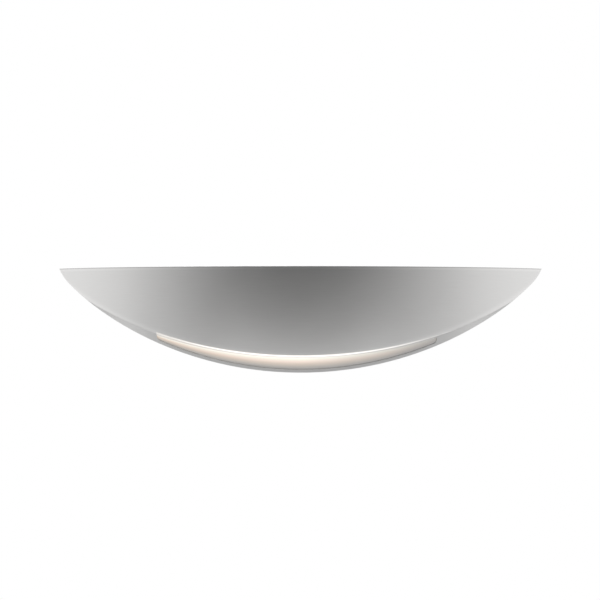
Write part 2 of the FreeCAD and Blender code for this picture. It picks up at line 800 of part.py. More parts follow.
def terminal_block_screws():
    return [pan_screw(block_middle, z, block_seat, block_screw_radius, block_screw_head_radius, block_screw_head_height)
            for z in block_screw_places]


def earth_screw():
    return wall_rod(stud_radius, earth_x, earth_z, -stud_length, 0)


def earth_washer():
    return ring(washer_radius, stud_radius + washer_clearance,
                Vector(earth_x, -plate_thickness - washer_thickness, earth_z),
                Vector(earth_x, -plate_thickness, earth_z))


def earth_tag():
    """A ring terminal with a crimped barrel that points up to its wire."""
    tag_back = tag_y + tag_thickness
    eye = wall_rod(tag_eye_radius, earth_x, earth_z, tag_y, tag_back)
    tongue = block(earth_x - tag_tongue_width / 2, earth_x + tag_tongue_width / 2, tag_y, tag_back,
                   earth_z, earth_z + tag_barrel_foot + overrun)
    foot = Vector(earth_x, barrel_y, earth_z + tag_barrel_foot)
    top = Vector(earth_x, barrel_y, earth_z + tag_barrel_top)
    barrel = rod(barrel_radius, foot, top)
    bore = rod(wire_radius + thread_clearance, foot + Vector(0, 0, tag_thickness), top + Vector(0, 0, overrun))
    hole = wall_rod(stud_radius + washer_clearance, earth_x, earth_z, tag_y - overrun, overrun)
    return eye.fuse([tongue, barrel]).removeSplitter().cut([bore, hole])


def earth_nut():
    seat = Vector(earth_x, tag_y, earth_z)
    return nut(earth_nut_width, earth_nut_height, stud_radius + thread_clearance, seat, Vector(0, -1, 0))


def wire(points, bend):
    """A round wire along straight runs joined by tangent arcs."""
    edges = []
    last = points[0]
    for before, corner, after in zip(points, points[1:], points[2:]):
        into = (corner - before).normalize()
        out = (after - corner).normalize()
        turn = into.getAngle(out)
        setback = bend * math.tan(turn / 2)
        start = corner - into * setback
        end = corner + out * setback
        middle = corner + (out - into).normalize() * (bend / math.cos(turn / 2) - bend)
        edges.append(Part.makeLine(last, start))
        edges.append(Part.Arc(start, middle, end).toShape())
        last = end
    edges.append(Part.makeLine(last, points[-1]))
    section = Part.Face(Part.Wire(Part.makeCircle(wire_radius, points[0], points[1] - points[0])))
    return Part.Wire(edges).makePipe(section)


def lamp_wire(rise, turn_x, way):
    start_x = insert_x + insert_thickness + holder_gap
    return wire([on_lamp_axis(start_x, rise), on_lamp_axis(turn_x, rise), Vector(turn_x, way_y, way),
                 Vector(block_right - way_wire_depth, way_y, way)], wire_bend)


def live_wire():
    return lamp_wire(wire_spread, arm_x + live_turn, ways[2])


def neutral_wire():
    return lamp_wire(-wire_spread, arm_x + neutral_turn, ways[1])


def earth_wire():
    bend_z = earth_z + tag_barrel_top + earth_wire_rise
    end_z = earth_z + tag_barrel_foot + 2 * tag_thickness
    return wire([Vector(block_right - way_wire_depth, way_y, ways[0]), Vector(earth_x, way_y, ways[0]),
                 Vector(earth_x, barrel_y, bend_z), Vector(earth_x, barrel_y, end_z)], earth_bend)


# --- All pieces ---

def save(name, *solids):
    shape = solids[0] if len(solids) == 1 else Part.makeCompound(solids)
    shape.exportStep("parts/" + name + ".step")


def main():
    os.makedirs("parts", exist_ok=True)
    save("shade_shell", shade_shell())
    save("slot_diffuser", slot_diffuser())
    save("diffuser_clips", *[diffuser_clip(x) for x in clip_places])
    save("clip_studs", *[clip_stud(x) for x in clip_places])
    save("clip_nuts", *[clip_nut(x) for x in clip_places])
    save("right_tab", tab())
    save("left_tab", mirrored(tab()))
    save("right_captive_nut", captive_nut())
    save("left_captive_nut", mirrored(captive_nut()))
    save("right_retaining_screw", retaining_screw())
    save("left_retaining_screw", mirrored(retaining_screw()))
    save("wall_plate", wall_plate())
    save("cable_grommet", cable_grommet())
    save("lampholder_arm", lampholder_arm())
    save("arm_screws", *arm_screws())
    save("bulb_glass", bulb_glass())
    save("bulb_cap", bulb_cap())
    save("bulb_insulator", bulb_insulator())
    save("bulb_contact", bulb_contact())
    save("thread_sleeve", thread_sleeve())
    save("lampholder_skirt", lampholder_skirt())
    save("lampholder_cover", lampholder_cover())
    save("lampholder_insert", lampholder_insert())
    save("centre_contact", centre_contact())
    save("lampholder_nipple", lampholder_nipple())
    save("nipple_nut", nipple_nut())
    save("terminal_block", terminal_block())
    save("terminal_bars", *terminal_bars())
    save("terminal_screws", *terminal_screws())
    save("terminal_block_screws", *terminal_block_screws())
    save("earth_screw", earth_screw())
    save("earth_washer", earth_washer())
    save("earth_tag", earth_tag())
    save("earth_nut", earth_nut())
    save("live_wire", live_wire())
    save("neutral_wire", neutral_wire())
    save("earth_wire", earth_wire())


main()
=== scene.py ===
import json
import math

import bmesh
import bpy
from mathutils import Matrix, Vector


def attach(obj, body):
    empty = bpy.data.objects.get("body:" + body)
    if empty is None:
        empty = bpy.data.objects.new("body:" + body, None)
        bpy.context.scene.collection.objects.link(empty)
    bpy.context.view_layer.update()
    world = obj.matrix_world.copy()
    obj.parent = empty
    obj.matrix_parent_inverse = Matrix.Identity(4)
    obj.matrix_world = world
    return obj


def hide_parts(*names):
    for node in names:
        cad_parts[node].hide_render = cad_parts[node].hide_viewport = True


# A satin nickel uplighter wall sconce: a rolled sheet-steel shade with a glowing slot in its lip, hung on a
# zinc plated wall plate that carries the lampholder, the terminal block and the earth point.
# Metres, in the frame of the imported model: X along the wall, Y into the wall, Z up.

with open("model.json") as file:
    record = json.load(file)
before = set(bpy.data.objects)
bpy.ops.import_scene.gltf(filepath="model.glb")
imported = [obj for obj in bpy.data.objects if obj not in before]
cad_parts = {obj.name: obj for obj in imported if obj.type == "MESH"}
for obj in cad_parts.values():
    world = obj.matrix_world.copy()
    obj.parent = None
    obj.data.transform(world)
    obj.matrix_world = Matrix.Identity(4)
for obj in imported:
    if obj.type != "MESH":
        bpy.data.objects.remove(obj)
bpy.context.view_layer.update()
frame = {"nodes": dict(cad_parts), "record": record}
mm = 0.001

# --- Sizes of the shade that its finishes follow ---
half_width = 200 * mm
projection = 125 * mm
front_radius = (half_width ** 2 + projection ** 2) / (2 * projection)
front_centre_y = front_radius - projection
rim = 40 * mm
floor = -43.6 * mm
arc_end_x = 190 * mm
arc_rise = 71 * mm
floor_radius = (arc_end_x ** 2 + arc_rise ** 2) / (2 * arc_rise)
floor_centre_z = floor + floor_radius
sheet = 1.2 * mm
slot_front_inset = 1.5 * mm      # the slot's front edge, behind the front's outer face
slot_back_inset = 2.6 * mm       # the slot's back edge, above the underside
slot_left = -113.7 * mm
slot_right = 107.6 * mm
clip_pitch = 74.65 * mm          # between the diffuser's three clips, the middle one halfway along the slot

# The lip is part of a round cylinder whose axis falls towards the wall at the lip's slope.
lip_slope = math.radians(24)
crease = floor + 13 * mm
lip_half_width = half_width - 30 * mm
underside_at_lip_end = floor_centre_z - math.sqrt(floor_radius ** 2 - lip_half_width ** 2)
sweep_to_lip_end = projection + front_centre_y - math.sqrt(front_radius ** 2 - lip_half_width ** 2)
lip_end_fall = underside_at_lip_end - crease + sweep_to_lip_end * math.tan(lip_slope)
lip_sag = lip_end_fall * math.cos(lip_slope)
lip_radius = (lip_half_width ** 2 + lip_sag ** 2) / (2 * lip_sag)
lip_axis_z = crease + lip_radius / math.cos(lip_slope) - projection * math.tan(lip_slope)

# --- Colours, as base colours of the finishes ---
NICKEL = (0.73, 0.725, 0.718)
ZINC = (0.66, 0.67, 0.69)
BRIGHT_ZINC = (0.72, 0.72, 0.73)
BRASS = (0.78, 0.62, 0.33)
TINNED = (0.75, 0.74, 0.72)
SPRING_STEEL = (0.50, 0.50, 0.52)
CAP_METAL = (0.78, 0.77, 0.75)
RUBBER = (0.04, 0.04, 0.045)
NYLON = (0.86, 0.85, 0.82)
PHENOLIC = (0.045, 0.042, 0.04)
PORCELAIN = (0.88, 0.86, 0.82)
VITRITE = (0.05, 0.05, 0.06)
BROWN = (0.24, 0.12, 0.07)
BLUE = (0.08, 0.22, 0.55)
GREEN = (0.10, 0.36, 0.10)
GLOBE = (0.58, 0.57, 0.54)
# Painted glow: the slot's light is painted as emission onto the sheet beside the slot.
SPILL = (0.30, 0.27, 0.23)       # the slot's light, caught on the cut edge of the sheet


def grey(level):
    return (level, level, level)


def toned(colour, share):
    """A colour made darker or lighter, up to white."""
    return tuple(min(part * share, 1.0) for part in colour)


# --- Node helpers ---

def put(tree, socket, value):
    """Sets a socket to a plain value, or links another socket to it."""
    if isinstance(value, bpy.types.NodeSocket):
        tree.links.new(value, socket)
    else:
        socket.default_value = value


def add_node(tree, kind, settings=None, **inputs):
    """A new node with its settings, and its inputs by name: an underscore stands for a space."""
    made = tree.nodes.new(kind)
    for name, value in (settings or {}).items():
        setattr(made, name, value)
    for name, value in inputs.items():
        put(tree, made.inputs[name.replace("_", " ")], value)
    return made


def node(tree, kind, settings=None, **inputs):
    return add_node(tree, "ShaderNode" + kind, settings, **inputs)


def math_of(tree, operation, *values, clamp=False):
    made = node(tree, "Math", {"operation": operation, "use_clamp": clamp})
    for socket, value in zip(made.inputs, values):
        put(tree, socket, value)
    return made.outputs[0]


def vector_of(tree, operation, *values):
    made = node(tree, "VectorMath", {"operation": operation})
    for socket, value in zip(made.inputs, values):
        put(tree, socket, value)
    return made


def spread(tree, value, low, high, to_low=0.0, to_high=1.0):
    """Maps a range onto another, and clamps it."""
    made = node(tree, "MapRange", {"clamp": True}, Value=value, From_Min=low, From_Max=high,
                To_Min=to_low, To_Max=to_high)
    return made.outputs[0]


def blend_colours(tree, share, first, second, mode="MIX"):
    made = node(tree, "Mix", {"data_type": "RGBA", "blend_type": mode})
    put(tree, made.inputs[0], share)
    for socket, value in ((made.inputs[6], first), (made.inputs[7], second)):
        put(tree, socket, value if isinstance(value, bpy.types.NodeSocket) else (*value, 1.0))
    return made.outputs[2]


def ramp(tree, value, stops):
    """A colour ramp: stops are (place, colour) pairs."""
    made = node(tree, "ValToRGB", Fac=value)
    elements = made.color_ramp.elements
    while len(elements) < len(stops):
        elements.new(0.5)
    for element, (place, colour) in zip(elements, stops):
        element.position = place
        element.color = (*colour, 1.0)
    return made.outputs[0]


def grey_ramp(tree, value, stops):
    """A colour ramp of greys: stops are (place, level) pairs."""
    return ramp(tree, value, [(place, grey(level)) for place, level in stops])


def object_place(tree):
    return node(tree, "TexCoord").outputs["Object"]


def finish_tree(name):
    """An empty material with its Principled shader."""
    material = bpy.data.materials.new(name)
    material.use_nodes = True
    tree = material.node_tree
    tree.nodes.clear()
    output = node(tree, "OutputMaterial")
    shader = node(tree, "BsdfPrincipled")
    tree.links.new(shader.outputs[0], output.inputs[0])
    return material, tree, shader


def effect_group(name, inputs, outputs):
    """An empty shader group: inputs are (name, kind, default), outputs are (name, kind)."""
    tree = bpy.data.node_groups.new(name, "ShaderNodeTree")
    for label, kind, default in inputs:
        socket = tree.interface.new_socket(name=label, in_out="INPUT", socket_type="NodeSocket" + kind)
        socket.default_value = default
    for label, kind in outputs:
        tree.interface.new_socket(name=label, in_out="OUTPUT", socket_type="NodeSocket" + kind)
    return tree, tree.nodes.new("NodeGroupInput").outputs, tree.nodes.new("NodeGroupOutput").inputs


def effect(tree, group, **inputs):
    return node(tree, "Group", {"node_tree": group}, **inputs).outputs


# --- Effects that several finishes share ---

def make_grain_group():
    """Fine grain: noise stretched by a scale for each axis, with a coarser mottle under it."""
    tree, given, out = effect_group(
        "fine_grain", [("Scale", "Vector", (1.0, 1.0, 1.0)), ("Mottle", "Float", 40.0)],
        [("Grain", "Float"), ("Mottle", "Float"), ("Height", "Float")])
    place = object_place(tree)
    stretched = vector_of(tree, "MULTIPLY", place, given["Scale"]).outputs[0]
    fine = node(tree, "TexNoise", Vector=stretched, Scale=1.0, Detail=4.0, Roughness=0.6).outputs[0]
    mottle = node(tree, "TexNoise", Vector=place, Scale=given["Mottle"], Detail=3.0, Roughness=0.5).outputs[0]
    put(tree, out["Grain"], fine)
    put(tree, out["Mottle"], mottle)
    put(tree, out["Height"], math_of(tree, "ADD", fine, math_of(tree, "MULTIPLY", mottle, 0.3)))
    return tree


def make_edge_group():
    """Softened edges: a normal rounded at the edges, and a mask of where they rub bright."""
    tree, given, out = effect_group(
        "rubbed_edges", [("Width", "Float", 0.5 * mm), ("Breakup", "Float", 300.0)],
        [("Wear", "Float"), ("Normal", "Vector")])
    rounded = node(tree, "Bevel", {"samples": 4}, Radius=given["Width"]).outputs[0]
    flat = node(tree, "NewGeometry").outputs["Normal"]
    facing = vector_of(tree, "DOT_PRODUCT", rounded, flat).outputs[1]
    turned = spread(tree, facing, 0.995, 0.85)
    patchy = node(tree, "TexNoise", Vector=object_place(tree), Scale=given["Breakup"], Detail=3.0).outputs[0]
    patches = spread(tree, patchy, 0.35, 0.6)
    put(tree, out["Wear"], math_of(tree, "MULTIPLY", turned, patches, clamp=True))
    put(tree, out["Normal"], rounded)
    return tree


def make_handling_group():
    """Faint marks of handling: broad soft smudges that change the gloss, and dust settled on upper sides."""
    tree, given, out = effect_group(
        "handling_marks", [("Size", "Float", 25.0), ("Seed", "Float", 0.0)],
        [("Smudge", "Float"), ("Dust", "Float")])
    offset = node(tree, "CombineXYZ", X=given["Seed"], Y=given["Seed"]).outputs[0]
    place = vector_of(tree, "ADD", object_place(tree), offset).outputs[0]
    smudge = node(tree, "TexNoise", Vector=place, Scale=given["Size"], Detail=5.0, Roughness=0.65,
                  Distortion=0.8).outputs[0]
    specks = node(tree, "TexNoise", Vector=place, Scale=1400.0, Detail=2.0).outputs[0]
    up = node(tree, "SeparateXYZ", Vector=node(tree, "NewGeometry").outputs["Normal"]).outputs[2]
    upper_side = spread(tree, up, 0.3, 0.95)
    settled = math_of(tree, "MULTIPLY", upper_side, spread(tree, specks, 0.52, 0.75))
    put(tree, out["Smudge"], spread(tree, smudge, 0.42, 0.72))
    put(tree, out["Dust"], settled)
    return tree


fine_grain = make_grain_group()
rubbed_edges = make_edge_group()
handling_marks = make_handling_group()

metal_grain_depth = 0.0012 * mm
fine_mould_depth = 0.01 * mm


def bumped(tree, shader, height, distance, normal=None):
    bump = node(tree, "Bump", Height=height, Distance=distance, Strength=1.0)
    if normal is not None:
        put(tree, bump.inputs["Normal"], normal)
    put(tree, shader.inputs["Normal"], bump.outputs[0])


# --- Finishes ---

def sheet_metal(name, colour, gloss, grain_scale, edge=0.3 * mm, mottle=40.0, tint=0.05, gloss_change=0.03):
    """A plated or bare metal: directional grain, a faint mottle, smudges, and edges that rub bright."""
    material, tree, shader = finish_tree(name)
    grain = effect(tree, fine_grain, Scale=grain_scale, Mottle=mottle)
    edges = effect(tree, rubbed_edges, Width=edge)
    marks = effect(tree, handling_marks)
    dark, light, rubbed = toned(colour, 1 - tint), toned(colour, 1 + tint), toned(colour, 1.2)
    base = blend_colours(tree, grain["Grain"], dark, light)
    base = blend_colours(tree, math_of(tree, "MULTIPLY", grain["Mottle"], 0.35), base, dark)
    base = blend_colours(tree, math_of(tree, "MULTIPLY", edges["Wear"], 0.5), base, rubbed)
    put(tree, shader.inputs["Base Color"], base)
    shader.inputs["Metallic"].default_value = 1.0
    rough = spread(tree, grain["Grain"], 0.3, 0.7, gloss - gloss_change, gloss + gloss_change)
    rough = math_of(tree, "ADD", rough, math_of(tree, "MULTIPLY", marks["Smudge"], gloss_change))
    put(tree, shader.inputs["Roughness"], rough)
    bumped(tree, shader, grain["Height"], metal_grain_depth, edges["Normal"])
    return material


def plain_moulding(name, colour, gloss, bump, coat=0.0):
    """A moulded or glazed piece: fine texture, softened edges, settled dust."""
    material, tree, shader = finish_tree(name)
    grain = effect(tree, fine_grain, Scale=(900.0, 900.0, 900.0), Mottle=120.0)
    edges = effect(tree, rubbed_edges, Width=0.3 * mm)
    marks = effect(tree, handling_marks)
    mottled = math_of(tree, "MULTIPLY", grain["Mottle"], 0.4)
    base = blend_colours(tree, mottled, colour, toned(colour, 0.85))
    base = blend_colours(tree, math_of(tree, "MULTIPLY", marks["Dust"], 0.12), base, grey(0.6))
    put(tree, shader.inputs["Base Color"], base)
    put(tree, shader.inputs["Roughness"], spread(tree, marks["Smudge"], 0.0, 1.0, gloss, gloss + 0.1))
    shader.inputs["Coat Weight"].default_value = coat
    bumped(tree, shader, grain["Height"], bump, edges["Normal"])
    return material


def round_of(tree, across, up):
    """The distance from an axis, from the distances to it two ways."""
    return math_of(tree, "SQRT", math_of(tree, "ADD", math_of(tree, "MULTIPLY", across, across),
                                         math_of(tree, "MULTIPLY", up, up)))


def place_on_shade(tree):
    """Where a point lies on the shade: its X, how far behind the slot's front edge, above the underside and
    inside the lip's outer face, and its Z."""
    across, inwards, height = node(tree, "SeparateXYZ", Vector=object_place(tree)).outputs[:3]
    drum = round_of(tree, across, math_of(tree, "SUBTRACT", inwards, front_centre_y))
    trough = round_of(tree, across, math_of(tree, "SUBTRACT", height, floor_centre_z))
    along_lip = math_of(tree, "MULTIPLY_ADD", inwards, math.tan(lip_slope), -lip_axis_z)
    over_axis = math_of(tree, "MULTIPLY", math_of(tree, "ADD", height, along_lip), math.cos(lip_slope))
    behind_front = math_of(tree, "SUBTRACT", front_radius - slot_front_inset, drum)
    rise = math_of(tree, "SUBTRACT", floor_radius, trough)
    in_lip = math_of(tree, "SUBTRACT", lip_radius, round_of(tree, across, over_axis))
    return across, behind_front, rise, in_lip, height


def glow_along(tree, across):
    """Painted glow along the slot: full over the bulb, dying away as painted shade over the lampholder."""
    return grey_ramp(tree, spread(tree, across, -half_width, half_width),
                     [(0.205, 0.6), (0.225, 0.95), (0.5, 1.0), (0.6, 0.68), (0.667, 0.5), (0.71, 0.3),
                      (0.74, 0.2), (0.775, 0.08)])


def painted_fold_highlight(tree, in_lip):
    """A painted highlight: a soft bright line along the fold, just inside the lip."""
    return grey_ramp(tree, spread(tree, in_lip, 0.0, 4.0 * mm),
                     [(0.0, 1.0), (0.2, 1.07), (0.38, 1.1), (0.7, 1.03), (1.0, 1.0)])


def rim_highlight_and_dark_line(tree, height):
    """The top of the sheet: a faint painted highlight band that ends in a darker line at the very top."""
    return grey_ramp(tree, spread(tree, height, rim - 3.0 * mm, rim),
                     [(0.0, 1.0), (0.3, 1.05), (0.6, 1.08), (0.78, 0.95), (0.88, 0.72)])


def lit_slot_edge(tree, across, behind_front, rise, in_lip):
    """Where the slot's light is painted on the sheet as glow: a hair of the lip ahead of it, and its far cut
    wall.
    """
    ahead = math_of(tree, "MULTIPLY", spread(tree, behind_front, 0.1 * mm, -0.1 * mm),
                    spread(tree, in_lip, 0.45 * mm, 0.15 * mm))
    through_sheet = math_of(tree, "MULTIPLY", spread(tree, in_lip, 0.03 * mm, 0.08 * mm),
                            spread(tree, in_lip, sheet + 0.1 * mm, sheet))
    cut_wall = math_of(tree, "MULTIPLY", through_sheet,
                       spread(tree, rise, slot_back_inset - 0.2 * mm, slot_back_inset))
    in_slot = math_of(tree, "MULTIPLY", spread(tree, across, slot_left - 0.4 * mm, slot_left - 0.1 * mm),
                      spread(tree, across, slot_right + 0.4 * mm, slot_right + 0.1 * mm))
    return math_of(tree, "MULTIPLY", math_of(tree, "MAXIMUM", ahead, cut_wall), in_slot)


def satin_nickel():
    """Level grain, painted highlights at the fold and rim, a dark top line, and painted slot glow on its
    edge.
    """
    material = sheet_metal("satin_nickel_steel", NICKEL, 0.29, (60.0, 60.0, 2600.0), gloss_change=0.008)
    tree = material.node_tree
    shader = tree.nodes["Principled BSDF"]
    across, behind_front, rise, in_lip, height = place_on_shade(tree)
    base = shader.inputs["Base Color"].links[0].from_socket
    # Painted highlight along the fold, multiplied into the base colour.
    base = blend_colours(tree, 1.0, base, painted_fold_highlight(tree, in_lip), "MULTIPLY")
    # Painted highlight band under the rim, ending in a darker line at the top edge.
    base = blend_colours(tree, 1.0, base, rim_highlight_and_dark_line(tree, height), "MULTIPLY")
    put(tree, shader.inputs["Base Color"], base)
    # Painted glow: the slot's light painted as emission on the sheet next to the slot.
    painted_glow_mask = lit_slot_edge(tree, across, behind_front, rise, in_lip)
    painted_spill = blend_colours(tree, 1.0, glow_along(tree, across), SPILL, "MULTIPLY")
    put(tree, shader.inputs["Emission Color"], blend_colours(tree, painted_glow_mask, grey(0.0), painted_spill))
    shader.inputs["Emission Strength"].default_value = 1.0
    return material


def opal_diffuser():
    """The lit strip, painted as glow: white next to the front sheet, through cream and tan to unlit at the
    back.
    """
    material, tree, shader = finish_tree("opal_diffuser")
    across, behind_front, rise = place_on_shade(tree)[:3]
    to_back = math_of(tree, "DIVIDE", math_of(tree, "SUBTRACT", rise, slot_back_inset), math.tan(lip_slope))
    slot_depth = math_of(tree, "ADD", behind_front, to_back)
    depth = math_of(tree, "DIVIDE", behind_front, slot_depth, clamp=True)
    glow = ramp(tree, depth, [(0.0, (0.60, 0.58, 0.50)), (0.12, (0.57, 0.53, 0.44)),
                              (0.25, (0.49, 0.40, 0.31)), (0.4, (0.40, 0.29, 0.20)),
                              (0.55, (0.27, 0.18, 0.11)), (0.72, (0.16, 0.12, 0.08)),
                              (0.88, (0.06, 0.05, 0.04)), (1.0, (0.0, 0.0, 0.0))])
    # Painted glow, standing in for the bulb's light through the strip.
    lit = blend_colours(tree, 1.0, glow, glow_along(tree, across), "MULTIPLY")
    put(tree, shader.inputs["Emission Color"], lit)
    shader.inputs["Emission Strength"].default_value = 1.0
    # Painted shade: the base colour is darker towards the back of the strip.
    base = ramp(tree, depth, [(0.0, (0.52, 0.51, 0.495)), (1.0, (0.46, 0.455, 0.45))])
    put(tree, shader.inputs["Base Color"], base)
    shader.inputs["Roughness"].default_value = 0.4
    grain = effect(tree, fine_grain, Scale=(1500.0, 1500.0, 1500.0), Mottle=200.0)
    bumped(tree, shader, grain["Height"], fine_mould_depth)
    return material


def sleeving(name, colour):
    """Braided sleeving over a wire, from its UV map: u once round, v along it in metres."""
    rows_per_metre, strands_round = 700.0, 6.0
    material, tree, shader = finish_tree(name)
    u, v = node(tree, "SeparateXYZ", Vector=node(tree, "TexCoord").outputs["UV"]).outputs[:2]
    strands = []
    for hand in (1, -1):
        round_wire = math_of(tree, "MULTIPLY", u, strands_round)
        turns = math_of(tree, "MULTIPLY_ADD", v, hand * rows_per_metre, round_wire)
        strands.append(math_of(tree, "SINE", math_of(tree, "MULTIPLY", turns, 2 * math.pi)))
    braid = math_of(tree, "MULTIPLY", *strands)
    base = blend_colours(tree, spread(tree, braid, -1.0, 1.0), toned(colour, 0.8), colour)
    marks = effect(tree, handling_marks)
    base = blend_colours(tree, math_of(tree, "MULTIPLY", marks["Dust"], 0.15), base, grey(0.6))
    put(tree, shader.inputs["Base Color"], base)
    put(tree, shader.inputs["Roughness"], spread(tree, marks["Smudge"], 0.0, 1.0, 0.42, 0.55))
    bumped(tree, shader, braid, 0.03 * mm)
    return material


def frosted_glass():
    """The bulb's globe: it glows softly, and less towards its neck."""
    globe_end, neck_end = -45 * mm, 16 * mm
    material, tree, shader = finish_tree("frosted_glass")
    across = node(tree, "SeparateXYZ", Vector=object_place(tree)).outputs[0]
    glow = ramp(tree, spread(tree, across, globe_end, neck_end),
                [(0.0, (0.30, 0.27, 0.22)), (0.5, (0.34, 0.30, 0.24)), (1.0, (0.10, 0.08, 0.06))])
    put(tree, shader.inputs["Emission Color"], glow)
    shader.inputs["Emission Strength"].default_value = 1.0
    shader.inputs["Base Color"].default_value = (*GLOBE, 1.0)
    shader.inputs["Roughness"].default_value = 0.3
    grain = effect(tree, fine_grain, Scale=(1200.0, 1200.0, 1200.0), Mottle=150.0)
    bumped(tree, shader, grain["Height"], fine_mould_depth)
    return material


finishes = {
    "satin_nickel_steel": satin_nickel(),
    "opal_diffuser": opal_diffuser(),
    "zinc_plated_steel": sheet_metal("zinc_plated_steel", ZINC, 0.34, (120.0, 120.0, 900.0),
                                     mottle=90.0, tint=0.08),
    "black_rubber": plain_moulding("black_rubber", RUBBER, 0.7, 0.02 * mm),
    "white_nylon": plain_moulding("white_nylon", NYLON, 0.42, fine_mould_depth),
    "brass": sheet_metal("brass", BRASS, 0.25, (2600.0, 90.0, 90.0)),
    "plated_screws": sheet_metal("plated_screws", BRIGHT_ZINC, 0.25, (400.0, 400.0, 400.0), edge=0.15 * mm),
    "nickel_screws": sheet_metal("nickel_screws", NICKEL, 0.28, (2600.0, 200.0, 200.0), edge=0.15 * mm),
    "tinned_copper": sheet_metal("tinned_copper", TINNED, 0.3, (300.0, 300.0, 300.0)),
    "black_phenolic": plain_moulding("black_phenolic", PHENOLIC, 0.22, 0.006 * mm, coat=0.3),
    "porcelain": plain_moulding("porcelain", PORCELAIN, 0.12, fine_mould_depth, coat=0.6),
    "brown_sleeving": sleeving("brown_sleeving", BROWN),
    "blue_sleeving": sleeving("blue_sleeving", BLUE),
    "green_sleeving": sleeving("green_sleeving", GREEN),
    "frosted_glass": frosted_glass(),
    "cap_metal": sheet_metal("cap_metal", CAP_METAL, 0.3, (200.0, 200.0, 200.0)),
    "black_glass": plain_moulding("black_glass", VITRITE, 0.08, 0.004 * mm),
    "spring_steel": sheet_metal("spring_steel", SPRING_STEEL, 0.28, (100.0, 1500.0, 1500.0)),
}

slot_of_node = {part["node"]: part["material_slot"] for part in frame["record"]["subparts"]}


def dress(piece, finish):
    piece.data.materials.clear()
    piece.data.materials.append(finishes[finish])


for name, finish in slot_of_node.items():
    dress(frame["nodes"][name], finish)


# --- Pieces made finer than their solids ---

def stand_in(name, mesh, cad_node, body):
    """A finer piece in place of a solid: dressed in the solid's own finish, on the same body."""
    piece = bpy.data.objects.new(name, mesh)
    bpy.context.scene.collection.objects.link(piece)
    dress(piece, slot_of_node[cad_node])
    for face in mesh.polygons:
        face.use_smooth = True
    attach(piece, body)
    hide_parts(cad_node)


# The two lamp wires leave the lampholder's nipple one above the other, and turn back into the terminal block.
wire_radius = 1.1 * mm
wire_bend = 5.5 * mm
arc_steps = 10
tube_sides = 20


def bent_path(corners, bend):
    """The points of a path whose corners are rounded to one radius."""
    points = [corners[0]]
    for before, corner, after in zip(corners, corners[1:], corners[2:]):
        into, out = (corner - before).normalized(), (after - corner).normalized()
        half = into.angle(out) / 2
        start = corner - into * bend * math.tan(half)
        centre = corner + (out - into).normalized() * bend / math.cos(half)
        axis = into.cross(out).normalized()
        for i in range(arc_steps + 1):
            turn = Matrix.Rotation(2 * half * i / arc_steps, 3, axis)
            points.append(centre + turn @ (start - centre))
    return points + [corners[-1]]


def wire_tube(path, radius):
    """A closed tube along a path, with u once round and v along it in metres."""
    mesh = bmesh.new()
    uv = mesh.loops.layers.uv.new("sleeve")
    side = (path[1] - path[0]).orthogonal().normalized()
    rings, lengths = [], [0.0]
    for i, point in enumerate(path):
        along = (path[min(i + 1, len(path) - 1)] - path[max(i - 1, 0)]).normalized()
        side = (side - along * side.dot(along)).normalized()
        across = along.cross(side)
        if i:
            lengths.append(lengths[-1] + (point - path[i - 1]).length)
        rings.append([mesh.verts.new(point + (side * math.cos(t) + across * math.sin(t)) * radius)
                      for t in (2 * math.pi * k / tube_sides for k in range(tube_sides))])
    for i in range(len(path) - 1):
        for k in range(tube_sides):
            after = (k + 1) % tube_sides
            face = mesh.faces.new((rings[i][k], rings[i][after], rings[i + 1][after], rings[i + 1][k]))
            for loop, place in zip(face.loops, ((k, i), (k + 1, i), (k + 1, i + 1), (k, i + 1))):
                loop[uv].uv = (place[0] / tube_sides, lengths[place[1]])
    mesh.faces.new(list(reversed(rings[0])))
    mesh.faces.new(rings[-1])
    made = bpy.data.meshes.new("wire")
    mesh.to_mesh(made)
    mesh.free()
    return made


def lamp_wire(beside_axis, far_x, way_z):
    """One lamp wire, in millimetres: beside the lamp's axis, out to the far X, and back into its way."""
    nipple_x, lamp_y = 54.8, -60
    way_x, way_y = 50, -8.5
    corners = [(nipple_x, lamp_y, beside_axis), (far_x, lamp_y, beside_axis), (far_x, way_y, way_z),
               (way_x, way_y, way_z)]
    return wire_tube(bent_path([Vector(corner) * mm for corner in corners], wire_bend), wire_radius)


stand_in("sleeved_live_wire", lamp_wire(1.6, 89, 16), "live_wire", "wall_mount")
stand_in("sleeved_neutral_wire", lamp_wire(-1.6, 86, 6), "neutral_wire", "wall_mount")


